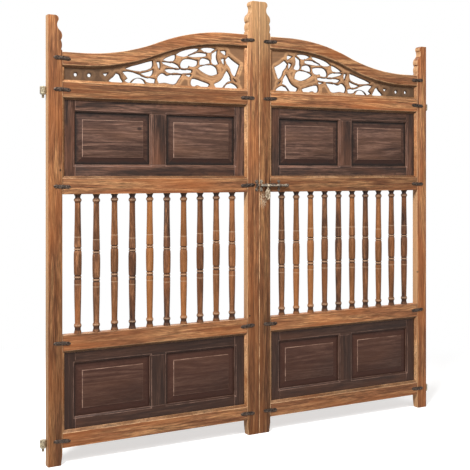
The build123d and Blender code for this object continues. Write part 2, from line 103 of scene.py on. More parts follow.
def vectors(tree, how, first, second=(0.0, 0.0, 0.0)):
    """One sum on places or directions, such as SUBTRACT or ABSOLUTE."""
    return place(tree, "ShaderNodeVectorMath", {0: first, 1: second}, operation=how).outputs[0]


def stored(tree, name):
    """What the mesh holds under this name."""
    return place(tree, "ShaderNodeAttribute", attribute_name=name).outputs["Fac"]


def times(tree, first, second):
    return reckon(tree, "MULTIPLY", first, second)


def tint(code):
    """The colour written as six hexadecimal digits, as the nodes want it."""
    parts = [int(code[i:i + 2], 16) / 255 for i in (0, 2, 4)]
    return [p / 12.92 if p <= 0.04045 else ((p + 0.055) / 1.055) ** 2.4 for p in parts] + [1.0]


def seen_directly(tree):
    """1 for rays that reach the backdrop from the camera or from a mirror or glass."""
    path = place(tree, "ShaderNodeLightPath")
    seen = path.outputs["Is Camera Ray"]
    for other in ("Is Glossy Ray", "Is Transmission Ray"):
        seen = reckon(tree, "MAXIMUM", seen, path.outputs[other])
    return seen


world = bpy.data.worlds.new("studio_air")
world.use_nodes = True
scene.world = world
air = world.node_tree
air.nodes.clear()
soft_light = place(air, "ShaderNodeBackground", {"Color": tint("fbf9f6"), "Strength": 0.38})
white_wall = place(air, "ShaderNodeBackground", {"Color": (1, 1, 1, 1), "Strength": 1.0})
choice = place(
    air, "ShaderNodeMixShader",
    {0: seen_directly(air), 1: soft_light.outputs[0], 2: white_wall.outputs[0]},
)
place(air, "ShaderNodeOutputWorld", {"Surface": choice.outputs[0]})

for lamp_name, lamp_place, lamp_power, lamp_size in (
    ("lamp_left", (-3.2, -2.8, 5.2), 465.0, 1.6),
    ("lamp_front", (1.2, -4.4, 4.6), 70.0, 2.0),
    ("lamp_back", (1.4, 4.6, 3.6), 110.0, 2.4),
):
    lamp_data = bpy.data.lights.new(lamp_name, "AREA")
    lamp_data.energy = lamp_power
    lamp_data.size = lamp_size
    lamp = bpy.data.objects.new(lamp_name, lamp_data)
    lamp.location = lamp_place
    lamp.rotation_euler = (Vector((0, 0, 1.0)) - lamp.location).to_track_quat("-Z", "Y").to_euler()
    scene.collection.objects.link(lamp)

floor_mesh = bpy.data.meshes.new("studio_floor")
floor_mesh.from_pydata([(-40, -40, 0), (40, -40, 0), (40, 40, 0), (-40, 40, 0)], [], [(0, 1, 2, 3)])
floor = bpy.data.objects.new("studio_floor", floor_mesh)
scene.collection.objects.link(floor)
floor_paint = bpy.data.materials.new("floor_paper")
floor_paint.use_nodes = True
paper = floor_paint.node_tree
paper.nodes.clear()
seen = seen_directly(paper)
pale = ranged(paper, seen, to_low=0.35, to_high=0.9)
lit_paper = place(paper, "ShaderNodeBsdfDiffuse", {"Color": pale})
glow = place(paper, "ShaderNodeEmission", {"Color": (1, 1, 1, 1), "Strength": times(paper, seen, 0.3)})
near_paper = place(paper, "ShaderNodeAddShader", {0: lit_paper.outputs[0], 1: glow.outputs[0]})
far_paper = place(paper, "ShaderNodeEmission", {"Color": (1, 1, 1, 1), "Strength": 1.0})
floor_place = place(paper, "ShaderNodeTexCoord").outputs["Object"]
reach = place(paper, "ShaderNodeVectorMath", {0: floor_place}, operation="LENGTH")
fade = ranged(paper, reach.outputs["Value"], 1.3, 2.6, soft=True)
seen_fade = times(paper, fade, seen)
blend = place(paper, "ShaderNodeMixShader", {0: seen_fade, 1: near_paper.outputs[0], 2: far_paper.outputs[0]})
place(paper, "ShaderNodeOutputMaterial", {"Surface": blend.outputs[0]})
floor_mesh.materials.append(floor_paint)
floor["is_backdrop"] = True

# Stiles: the four uprights of the two leaves, sawn from old teak and planed by hand, with a
# finial cut on one edge of the head and a foot below the bottom rail. The wood is honey to
# orange brown with dark fibres, its arrises rubbed pale, and it darkens towards the feet.


def shader_group(name, takes, gives):
    """An empty node group with its sockets, its input node and its output node."""
    tree = bpy.data.node_groups.new(name, "ShaderNodeTree")
    for label, kind, value in takes:
        socket = tree.interface.new_socket(name=label, in_out="INPUT", socket_type="NodeSocket" + kind)
        if value is not None:
            socket.default_value = value
    for label, kind in gives:
        tree.interface.new_socket(name=label, in_out="OUTPUT", socket_type="NodeSocket" + kind)
    return tree, tree.nodes.new("NodeGroupInput"), tree.nodes.new("NodeGroupOutput")


def plank_figure_group():
    """Growth rings, fibres and pores of a sawn board, from coordinates shortened along the grain."""
    tree, given, made = shader_group(
        "plank_figure",
        [("Vector", "Vector", None), ("Ring Scale", "Float", 22.0), ("Ring Count", "Float", 7.0),
         ("Fibre Scale", "Float", 420.0)],
        [("Broad", "Float"), ("Rings", "Float"), ("Streak", "Float"), ("Fibre", "Float"), ("Pores", "Float")],
    )
    vector = given.outputs["Vector"]
    broad = place(tree, "ShaderNodeTexNoise", {
        "Vector": vector, "Scale": given.outputs["Ring Scale"], "Detail": 2.5, "Roughness": 0.5,
        "Distortion": 0.35,
    })
    tall = times(tree, broad.outputs[0], given.outputs["Ring Count"])
    ring = reckon(tree, "PINGPONG", tall, 0.5)
    rings = ranged(tree, ring, 0.0, 0.5, soft=True)
    fibre = place(tree, "ShaderNodeTexNoise", {
        "Vector": vector, "Scale": given.outputs["Fibre Scale"], "Detail": 3.0, "Roughness": 0.65,
    })
    streak = place(tree, "ShaderNodeTexNoise", {
        "Vector": vector, "Scale": times(tree, given.outputs["Ring Scale"], 14.0), "Detail": 3.0,
        "Roughness": 0.7,
    })
    streaks = ranged(tree, streak.outputs[0], 0.41, 0.59)
    pore = place(tree, "ShaderNodeTexNoise", {"Vector": vector, "Scale": 620.0, "Detail": 1.0})
    pores = ranged(tree, pore.outputs[0], 0.62, 0.72)
    wide = ranged(tree, broad.outputs[0], 0.32, 0.68)
    for label, socket in (
        ("Broad", wide), ("Rings", rings), ("Streak", streaks), ("Fibre", fibre.outputs[0]), ("Pores", pores),
    ):
        tree.links.new(socket, made.inputs[label])
    return tree


def weathering_group():
    """Stains, handling wear and scratches, as masks that don't follow the grain."""
    tree, given, made = shader_group(
        "weathering",
        [("Vector", "Vector", None), ("Stain Scale", "Float", 11.0), ("Chip Scale", "Float", 60.0)],
        [("Stain", "Float"), ("Glow", "Float"), ("Chips", "Float"), ("Specks", "Float")],
    )
    vector = given.outputs["Vector"]
    stain = place(tree, "ShaderNodeTexNoise", {
        "Vector": vector, "Scale": given.outputs["Stain Scale"], "Detail": 4.0, "Roughness": 0.6,
        "Distortion": 0.4,
    })
    stains = ranged(tree, stain.outputs[0], 0.46, 0.7)
    shifted = vectors(tree, "ADD", vector, (3.1, 7.7, 1.9))
    warm = place(tree, "ShaderNodeTexNoise", {
        "Vector": shifted, "Scale": given.outputs["Stain Scale"], "Detail": 3.0, "Roughness": 0.55,
    })
    glow = ranged(tree, warm.outputs[0], 0.45, 0.68)
    chip = place(tree, "ShaderNodeTexNoise", {
        "Vector": vector, "Scale": given.outputs["Chip Scale"], "Detail": 5.0, "Roughness": 0.7,
    })
    chips = ranged(tree, chip.outputs[0], 0.36, 0.6)
    speck = place(tree, "ShaderNodeTexVoronoi", {"Vector": vector, "Scale": 42.0, "Randomness": 1.0})
    specks = ranged(tree, speck.outputs["Distance"], 0.09, 0.04)
    for label, socket in (("Stain", stains), ("Glow", glow), ("Chips", chips), ("Specks", specks)):
        tree.links.new(socket, made.inputs[label])
    return tree


plank_figure = plank_figure_group()
weathering = weathering_group()


def mixed(tree, share, first, second, mode="MIX"):
    """Two colours mixed by a share that may vary over the surface."""
    node = place(tree, "ShaderNodeMix", data_type="RGBA", blend_type=mode)
    for index, value in ((0, share), (6, first), (7, second)):
        if isinstance(value, bpy.types.NodeSocket):
            tree.links.new(value, node.inputs[index])
        else:
            node.inputs[index].default_value = value
    return node.outputs[2]


def shaded(tree, colour, level):
    """The colour made darker or lighter by a level that may vary over the surface."""
    grey = place(tree, "ShaderNodeCombineColor", {0: level, 1: level, 2: level}).outputs[0]
    return mixed(tree, 1.0, colour, grey, "MULTIPLY")


def group_node(tree, made_of, **inputs):
    node = place(tree, "ShaderNodeGroup", node_tree=made_of)
    for key, value in inputs.items():
        socket = node.inputs[key.replace("_", " ")]
        if isinstance(value, bpy.types.NodeSocket):
            tree.links.new(value, socket)
        else:
            socket.default_value = value
    return node


def recess_group():
    """Grime and painted shade inside a rectangle's edge, and nothing outside it or further in than its reach.
    """
    tree, given, made = shader_group(
        "recess_grime_and_shade",
        [("Vector", "Vector", None), ("Middle", "Vector", None), ("Half Size", "Vector", None),
         ("Reach", "Float", 0.02)],
        [("Grime and Shade", "Float")],
    )
    from_axis = vectors(tree, "ABSOLUTE", given.outputs["Vector"])
    away = vectors(tree, "SUBTRACT", from_axis, given.outputs["Middle"])
    room = vectors(tree, "SUBTRACT", given.outputs["Half Size"], vectors(tree, "ABSOLUTE", away))
    sides = place(tree, "ShaderNodeSeparateXYZ", {0: room})
    least = reckon(tree, "MINIMUM", sides.outputs["X"], sides.outputs["Z"])
    ragged = place(
        tree, "ShaderNodeTexNoise", {"Vector": given.outputs["Vector"], "Scale": 45.0, "Detail": 4.0},
    )
    uneven = ranged(tree, ragged.outputs[0], 0.3, 0.7, 1.5, 0.5)
    reach = times(tree, least, uneven)
    grime_and_shade = ranged(tree, reach, 0.0, given.outputs["Reach"], 1.0, 0.0, soft=True)
    within = reckon(tree, "GREATER_THAN", least, -0.002)
    tree.links.new(times(tree, grime_and_shade, within), made.inputs["Grime and Shade"])
    return tree


recess_grime_and_shade = recess_group()


def grime_and_shade_in(tree, here, nodes, reach, inset=0.0):
    """The grime and painted shade along the inside of some left leaf nodes' outlines, and of their
    mirror images'.
    """
    grime_and_shade = 0.0
    for node in nodes:
        low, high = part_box(node)
        part_grime_and_shade = group_node(
            tree, recess_grime_and_shade, Vector=here, Middle=[abs(low.x + high.x) / 2, 0, (low.z + high.z) / 2],
            Half_Size=[abs(high.x - low.x) / 2 - inset, 1, (high.z - low.z) / 2 - inset], Reach=reach,
        ).outputs[0]
        grime_and_shade = reckon(tree, "MAXIMUM", grime_and_shade, part_grime_and_shade)
    return grime_and_shade


def old_wood(name, grain, colours, worn, shift=(0, 0, 0), ring_scale=22.0, ring_count=5.0,
             stain=0.5, warm="ab6434", warmth=0.55, contrast=0.5, roughness=0.62, relief=0.35, extra=None):
    """A worn, oiled wood. grain is the coordinate scale, small along the fibres. colours are its
    dark, middle and light tones, and worn is the tone of the rubbed arrises."""
    paint = bpy.data.materials.new(name)
    paint.use_nodes = True
    tree = paint.node_tree
    tree.nodes.clear()
    here = place(tree, "ShaderNodeTexCoord").outputs["Object"]
    along = place(tree, "ShaderNodeMapping", {"Vector": here, "Location": shift, "Scale": grain}).outputs[0]
    figure = group_node(tree, plank_figure, Vector=along, Ring_Scale=ring_scale, Ring_Count=ring_count)
    loose = place(tree, "ShaderNodeMapping", {
        "Vector": here, "Location": shift, "Scale": [0.2 + 0.8 * g for g in grain],
    }).outputs[0]
    age = group_node(tree, weathering, Vector=loose)
    ramp = place(tree, "ShaderNodeValToRGB", {0: figure.outputs["Rings"]})
    ramp.color_ramp.elements[0].color = tint(colours[0])
    ramp.color_ramp.elements[1].color = tint(colours[2])
    ramp.color_ramp.elements[0].position = 0.05
    ramp.color_ramp.elements.new(0.45).color = tint(colours[1])
    colour = mixed(tree, times(tree, figure.outputs["Broad"], 0.45), ramp.outputs[0], tint(colours[1]))
    streak = ranged(tree, figure.outputs["Streak"], to_low=1 - contrast, to_high=1 + 0.75 * contrast)
    colour = shaded(tree, colour, streak)
    fibre = ranged(tree, figure.outputs["Fibre"], 0.35, 0.66, 0.52, 1.26)
    colour = shaded(tree, colour, fibre)
    colour = mixed(tree, times(tree, age.outputs["Glow"], warmth), colour, tint(warm))
    colour = mixed(tree, times(tree, age.outputs["Stain"], stain), colour, tint(colours[0]))
    colour = mixed(tree, times(tree, figure.outputs["Pores"], 0.5), colour, tint(colours[0]))
    tone = stored(tree, "tone")
    level = ranged(tree, tone, 0.0, 1.0, 0.72, 1.3)
    colour = shaded(tree, colour, level)
    if extra:
        colour = extra(tree, here, colour)
    arris = stored(tree, "worn")
    rubbed = times(tree, arris, age.outputs["Chips"])
    colour = mixed(tree, rubbed, colour, tint(worn))
    rough = ranged(tree, figure.outputs["Fibre"], 0.3, 0.7, roughness + 0.12, roughness - 0.1)
    height = reckon(tree, "SUBTRACT", figure.outputs["Fibre"], figure.outputs["Pores"])
    height = reckon(tree, "SUBTRACT", height, age.outputs["Specks"])
    bump = place(tree, "ShaderNodeBump", {"Height": height, "Strength": relief, "Distance": 0.0012})
    surface = place(tree, "ShaderNodeBsdfPrincipled", {
        "Base Color": colour, "Roughness": rough, "Normal": bump.outputs[0], "Specular IOR Level": 0.24,
    })
    place(tree, "ShaderNodeOutputMaterial", {"Surface": surface.outputs[0]})
    return paint


def merged_copy(node):
    """A CAD node's mesh with each solid's doubles merged and its flat faces made whole."""
    form = bmesh.new()
    form.from_mesh(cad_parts[node].data)
    form.verts.index_update()
    solids, corners, open_edges = [], set(), set()
    for face in form.faces:
        corners.update(face.verts)
        for edge in face.edges:
            open_edges ^= {frozenset(tuple(round(c, 5) for c in v.co) for v in edge.verts)}
        if not open_edges:
            solids.append(sorted(corners, key=lambda v: v.index))
            corners = set()
    for solid in solids + [sorted(corners, key=lambda v: v.index)]:
        bmesh.ops.remove_doubles(form, verts=solid, dist=1e-6)
    bmesh.ops.dissolve_limit(form, angle_limit=radians(0.5), verts=form.verts, edges=form.edges)
    return form


def ease(form, width):
    """Takes the arrises off and marks them as worn."""
    worn = form.faces.layers.float.new("worn")
    least_angle = radians(25)
    arrises = [e for e in form.edges if len(e.link_faces) == 2 and e.calc_face_angle(0) > least_angle]
    made = bmesh.ops.bevel(
        form, geom=arrises, offset=width, segments=1, affect="EDGES", profile=0.5, clamp_overlap=True,
    )
    for face in made["faces"]:
        face[worn] = 1.0


def finish_piece(name, form, body, paints, tone=0.5, stands_for=()):
    """Makes the piece's object, gives it its paint and its tone, and lets it ride on its body."""
    level = form.faces.layers.float.get("tone") or form.faces.layers.float.new("tone")
    for face in form.faces:
        if not face[level]:
            face[level] = tone
    mesh = bpy.data.meshes.new(name)
    form.to_mesh(mesh)
    form.free()
    mesh.polygons.foreach_set("use_smooth", [True] * len(mesh.polygons))
    mesh.set_sharp_from_angle(angle=radians(33))
    for paint in paints:
        mesh.materials.append(paint)
    piece = bpy.data.objects.new(name, mesh)
    scene.collection.objects.link(piece)
    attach(piece, body)
    if stands_for:
        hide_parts(*stands_for)
    return piece


def spot(tree, here, middle, stretch, far, near, strength):
    """A round or stretched mark with a soft edge at a place on the gate's face."""
    there = vectors(tree, "MULTIPLY", vectors(tree, "SUBTRACT", here, middle), stretch)
    away = place(tree, "ShaderNodeVectorMath", {0: there}, operation="LENGTH").outputs["Value"]
    return ranged(tree, away, far, near, to_high=strength, soft=True)


scraped_patch = (0.022, -0.03, 1.083)
# across, height and length of the cracks, and across and height of the old nail holes
cracks = (
    (-0.998, 1.27, 0.06), (-0.985, 0.8, 0.09), (-0.03, 0.62, 0.08),
    (0.03, 0.5, 0.1), (-0.04, 1.75, 0.05), (0.96, 1.0, 0.08),
)
nail_holes = (
    (-0.915, 1.79), (0.915, 1.79), (-0.06, 1.95), (-0.95, 1.22), (0.06, 1.32), (-0.05, 0.55), (0.945, 0.7),
)


def stile_marks(tree, here, colour):
    """The edges are lighter than the faces. Damp has darkened the lower part of the stiles, least of
    all the right outer one. The tongue has scraped the right inner stile pale, the sun has bleached
    the heads of the two inner ones, and here and there is a crack or an old nail hole."""
    side_face_share = stored(tree, "side_face")
    colour = mixed(tree, times(tree, side_face_share, 0.6), colour, tint("e3b282"))
    spread = place(tree, "ShaderNodeSeparateXYZ", {0: here})
    height = spread.outputs["Z"]
    damp = ranged(tree, height, 1.1, 0.15, 0.0, 0.38, soft=True)
    wet = ranged(tree, spread.outputs["X"], 0.5, 0.9, 1.0, 0.25)
    colour = mixed(tree, times(tree, damp, wet), colour, tint("4f2d14"))
    across = reckon(tree, "ABSOLUTE", spread.outputs["X"])
    inner = ranged(tree, across, 0.5, 0.1)
    bleach = ranged(tree, height, 1.66, 1.96, to_high=0.45)
    colour = mixed(tree, times(tree, bleach, inner), colour, tint("d6ad7c"))
    flecks = place(tree, "ShaderNodeTexNoise", {"Vector": here, "Scale": 190.0, "Detail": 3.0})
    scratched = ranged(tree, flecks.outputs[0], 0.45, 0.6)
    patch = spot(tree, here, scraped_patch, (1.0, 0.2, 0.55), 0.026, 0.01, 0.9)
    scraped = times(tree, patch, scratched)
    colour = mixed(tree, scraped, colour, tint("d9c3a4"))
    for x, z, length in cracks:
        crack = spot(tree, here, (x, -0.02, z), (1.0, 0.05, 0.002 / length), 0.002, 0.0008, 0.85)
        colour = mixed(tree, crack, colour, tint("20130c"))
    for x, z in nail_holes:
        hole = spot(tree, here, (x, -0.02, z), (1.0, 0.2, 0.8), 0.006, 0.003, 0.85)
        colour = mixed(tree, hole, colour, tint("1c120d"))
    return colour


upright_teak = old_wood(
    "upright_teak", (1, 1, 0.045), ("77492c", "976441", "b88456"), "e2b88c", shift=(0.3, 0.1, 0.5),
    extra=stile_marks,
)
stile_tones = {
    "left_outer_stile": 0.5, "left_inner_stile": 0.42, "right_outer_stile": 0.62, "right_inner_stile": 0.3,
}
for stile, stile_tone in stile_tones.items():
    upright = merged_copy(stile)
    tone_layer = upright.faces.layers.float.new("tone")
    side_face_layer = upright.faces.layers.float.new("side_face")
    for face in upright.faces:
        face[tone_layer] = stile_tone
        face[side_face_layer] = abs(face.normal.x) > 0.9
    ease(upright, 0.0022)
    leaf = stile.split("_")[0] + "_leaf"
    finish_piece(stile + "_eased", upright, leaf, [upright_teak], stile_tone, [stile])

# Rails: five to a leaf, tenoned into the stiles, the top one sawn to an ogee. They are of the
# same old teak as the stiles, with the grain lying level.


def joint_lines(tree, here, colour):
    """A dark line of old dirt where each rail meets its stiles."""
    across = reckon(tree, "ABSOLUTE", place(tree, "ShaderNodeSeparateXYZ", {0: here}).outputs["X"])
    for edge in (-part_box("left_outer_stile")[1].x, -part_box("left_inner_stile")[0].x):
        off = reckon(tree, "ABSOLUTE", reckon(tree, "SUBTRACT", across, edge))
        line = ranged(tree, off, 0.0045, 0.0015, to_high=0.75)
        colour = mixed(tree, line, colour, tint("2b1a10"))
    return colour


level_teak = old_wood(
    "level_teak", (0.045, 1, 1), ("7c4d31", "9c6b47", "bb895d"), "e2b88c", shift=(0.4, 0.2, 0.3),
    extra=joint_lines,
)
rail_tones = {
    "left_top_rail": 0.62, "left_frieze_rail": 0.0, "left_mid_rail": 0.45, "left_lower_rail": 0.48,
    "left_bottom_rail": 0.45,
    "right_top_rail": 0.4, "right_frieze_rail": 0.85, "right_mid_rail": 0.08, "right_lower_rail": 0.8,
    "right_bottom_rail": 0.5,
}
for rail, rail_tone in rail_tones.items():
    member = merged_copy(rail)
    ease(member, 0.003)
    finish_piece(
        rail + "_eased", member, rail.split("_")[0] + "_leaf", [level_teak], rail_tone,
        [rail],
    )

# Beads: slanted strips mitred round the three openings of each leaf. They are paler than the
# frame. The strips that face down are painted dark as shade, and those that face up are darker too.


def painted_bead_shade(tree, here, colour):
    """Painted shade on the strips that face down, and a darker tone on those that face up; the attribute
    marks them.
    """
    shade = stored(tree, "shade")
    return mixed(tree, times(tree, shade, 0.8), colour, tint("38251a"))


bead_teak = old_wood(
    "bead_teak", (0.3, 1, 0.3), ("8f6340", "b98a5e", "d4a57a"), "c9a078", stain=0.3,
    shift=(0.1, 0.6, 0.8), ring_scale=8.0, contrast=0.3, extra=painted_bead_shade,
)


def islands(form):
    """The separate solids of a mesh, as lists of faces, always in the mesh's own order."""
    left = set(form.faces)
    found = []
    for first in form.faces:
        if first not in left:
            continue
        left.discard(first)
        solid, edge_of = [first], [first]
        while edge_of:
            face = edge_of.pop()
            for edge in face.edges:
                for other in edge.link_faces:
                    if other in left:
                        left.discard(other)
                        solid.append(other)
                        edge_of.append(other)
        found.append(solid)
    return found


for side in ("left", "right"):
    beads = merged_copy(side + "_opening_beads")
    shade_layer = beads.faces.layers.float.new("shade")
    # Painted shade: the strips that face down are marked darkest, those that face up less.
    for face in beads.faces:
        if face.normal.y < -0.2 and abs(face.normal.z) > 0.2:
            by_panels = face.calc_center_median().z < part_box("left_frieze_rail")[0].z
            face[shade_layer] = 0.9 if face.normal.z < 0 else 0.7 if by_panels else 0.25
    ease(beads, 0.0007)
    tone_layer = beads.faces.layers.float.new("tone")
    chance = Random(side + "beads")
    for solid in islands(beads):
        strip_tone = chance.uniform(0.25, 0.75)
        for face in solid:
            face[tone_layer] = strip_tone
    finish_piece(
        side + "_beads_eased", beads, side + "_leaf", [bead_teak], 0.55,
        [side + "_opening_beads"],
    )

# Framed units: two stiles, two rails and a muntin of dark walnut-stained wood, set in the leaf's
# grooves. The grain runs along each member, and each has its own tone.
walnut_tones = ("2b1c16", "4d362b", "6c4e40")
lower_units_end = 0.9


def lower_units(tree, here):
    """1 on the wood below the spindles and 0 above it."""
    height = place(tree, "ShaderNodeSeparateXYZ", {0: here}).outputs["Z"]
    return reckon(tree, "LESS_THAN", height, lower_units_end)


def grime_and_shade_by_beads(tree, here, colour):
    """Black grime, old polish and painted shade lie along the beads; the lower units are darker all over."""
    units = ["left_upper_panel_frame", "left_lower_panel_frame"]
    grime_and_shade = times(tree, grime_and_shade_in(tree, here, units, 0.028, inset=0.004), 0.85)
    colour = mixed(tree, grime_and_shade, colour, tint("231813"))
    return mixed(tree, times(tree, lower_units(tree, here), 0.6), colour, tint("2f1b12"))


upright_walnut = old_wood(
    "upright_walnut", (1, 1, 0.05), walnut_tones, "86685a", stain=0.5, warm="7c4f38", roughness=0.55,
    extra=grime_and_shade_by_beads,
)
level_walnut = old_wood(
    "level_walnut", (0.05, 1, 1), walnut_tones, "86685a", stain=0.5, warm="7c4f38", roughness=0.55,
    extra=grime_and_shade_by_beads,
)


for side in ("left", "right"):
    for level_name in ("upper", "lower"):
        unit = f"{side}_{level_name}_panel_frame"
        members = merged_copy(unit)
        ease(members, 0.0012)
        tone_layer = members.faces.layers.float.new("tone")
        chance = Random(unit)
        for solid in islands(members):
            points = [v.co for face in solid for v in face.verts]
            wide = max(p.x for p in points) - min(p.x for p in points)
            high = max(p.z for p in points) - min(p.z for p in points)
            member_tone = (0.42 if level_name == "upper" else 0.04) + 0.2 * chance.random()
            for face in solid:
                face.material_index = 0 if high > wide else 1
                face[tone_layer] = member_tone
        finish_piece(
            unit + "_eased", members, side + "_leaf", [upright_walnut, level_walnut], 0.5,
            [unit],
        )

# Raised panels: one board each, bevelled on all four sides down to a tongue. The field is worn
# lighter and greyer than the bevel, where dirt and old polish have gathered and painted shade
# darkens it, most where it faces down.


knot_place = (-0.592, 0, 1.4)
panel_names = ("upper_outer", "upper_inner", "lower_outer", "lower_inner")


def polish_and_shade_in_bevel(tree, here, colour):
    """The bevels are painted dark with old polish and painted shade, most where they face down; the
    attribute marks them. Grime and painted shadow lie in the grooves round them, and the left outer
    panel has a knot."""
    bevel = stored(tree, "bevel")
    colour = mixed(tree, bevel, colour, tint("2c150c"))
    panels = [f"left_{name}_panel" for name in panel_names]
    colour = mixed(tree, grime_and_shade_in(tree, here, panels, 0.017, inset=0.008), colour, tint("1a110d"))
    knot = spot(tree, here, knot_place, (1.0, 0.1, 1.6), 0.016, 0.006, 0.8)
    colour = mixed(tree, times(tree, lower_units(tree, here), 0.6), colour, tint("3f2014"))
    return mixed(tree, knot, colour, tint("1c1210"))


panel_walnut = old_wood(
    "panel_walnut", (0.06, 1, 1), ("442f27", "664a3e", "806152"), "8f7160", shift=(0.7, 0.1, 0.2),
    ring_scale=16.0, ring_count=8.0, stain=0.4, warm="74523f", contrast=0.25, roughness=0.58,
    extra=polish_and_shade_in_bevel,
)
for side in ("left", "right"):
    for place_name in panel_names:
        node_name = f"{side}_{place_name}_panel"
        panel = merged_copy(node_name)
        bevel_layer = panel.faces.layers.float.new("bevel")
        # Painted shade: the bevels that face down are marked darker than the rest.
        for face in panel.faces:
            if face.normal.y < -0.5 and face.normal.y > -0.999:
                face[bevel_layer] = 0.95 if face.normal.z < -0.1 else 0.65
        ease(panel, 0.0016)
        # Rubbed arrises with a painted highlight: their pale stays mostly on the ones facing up or left,
        # towards the lamp.
        worn_and_highlight_layer = panel.faces.layers.float["worn"]
        for face in panel.faces:
            if face.normal.z < -0.05 or face.normal.x > 0.05:
                face[worn_and_highlight_layer] *= 0.25
        panel_tone = 0.62 if "upper" in place_name else 0.4
        finish_piece(
            node_name + "_eased", panel, side + "_leaf", [panel_walnut], panel_tone,
            [node_name],
        )

# Carved board: one plank to a leaf, pierced with a fretsaw and carved in relief: a deer lying
# under branches. The figures are rounded over towards the sawn windows, and painted shade darkens
# their falling edges and the windows' walls.
relief = 0.0075
window_growth, window_growth_in_thick_wood, small_hole_growth = 0.0018, 0.0045, -0.0022
mesh_step = 0.0034
row_rise = 0.87
small_hole_outline, least_wood_left, thick_wood_trial, back_relief = 0.09, 0.004, 2.6, 0.0022


def front_loops(form, y):
    """The closed outlines of the board's flat front, longest first."""
    rim = [
        e for e in form.edges
        if all(abs(v.co.y - y) < 1e-5 for v in e.verts) and any(abs(f.normal.y) < 0.5 for f in e.link_faces)
    ]
    next_of = {}
    for e in rim:
        for a, b in (e.verts, reversed(e.verts)):
            next_of.setdefault(a, []).append(b)
    loops, left = [], set(next_of)
    while left:
        start = min(left, key=lambda v: v.index)
        loop, last, here = [start], None, start
        while True:
            left.discard(here)
            step = [v for v in next_of[here] if v is not last]
            last, here = here, step[0]
            if here is start:
                break
            loop.append(here)
        loops.append([(v.co.x, v.co.z) for v in loop])
    return sorted(loops, key=lambda l: -sum(hypot(a[0] - b[0], a[1] - b[1]) for a, b in zip(l, l[1:])))


def softened(loop):
    """Gentle corners cut back twice, as a knife leaves them, and sharp tips kept."""
    for _ in range(2):
        cut = []
        for a, b, c in zip(loop[-1:] + loop[:-1], loop, loop[1:] + loop[:1]):
            coming, going = Vector(b) - Vector(a), Vector(c) - Vector(b)
            if coming.normalized().dot(going.normalized()) < 0.5:
                cut.append(b)
                continue
            cut.append((0.75 * b[0] + 0.25 * a[0], 0.75 * b[1] + 0.25 * a[1]))
            cut.append((0.75 * b[0] + 0.25 * c[0], 0.75 * b[1] + 0.25 * c[1]))
        loop = cut
    return loop


def grown(loop, growth):
    """A window's outline moved outwards all round."""
    area = sum(a[0] * b[1] - b[0] * a[1] for a, b in zip(loop, loop[1:] + loop[:1]))
    out = growth if area > 0 else -growth
    points = []
    for a, b, c in zip(loop[-1:] + loop[:-1], loop, loop[1:] + loop[:1]):
        along = (Vector(b) - Vector(a)).normalized() + (Vector(c) - Vector(b)).normalized()
        along.normalize()
        points.append((b[0] + along.y * out, b[1] - along.x * out))
    return points


def spaced(loop, step):
    """Long runs of a loop divided, so that the mesh can follow the relief."""
    points = []
    for a, b in zip(loop, loop[1:] + loop[:1]):
        count = max(1, round(hypot(b[0] - a[0], b[1] - a[1]) / step))
        points += [(a[0] + (b[0] - a[0]) * i / count, a[1] + (b[1] - a[1]) * i / count) for i in range(count)]
    return points


def inside(point, loop):
    x, z = point
    within = False
    for (ax, az), (bx, bz) in zip(loop, loop[1:] + loop[:1]):
        if (az > z) != (bz > z) and x < (bx - ax) * (z - az) / (bz - az) + ax:
            within = not within
    return within


def gap_to(point, loop):
    """Distance from a point to a closed outline."""
    x, z = point
    best = 1.0
    for (ax, az), (bx, bz) in zip(loop, loop[1:] + loop[:1]):
        dx, dz = bx - ax, bz - az
        share = max(0.0, min(1.0, ((x - ax) * dx + (z - az) * dz) / (dx * dx + dz * dz + 1e-12)))
        best = min(best, hypot(x - ax - share * dx, z - az - share * dz))
    return best


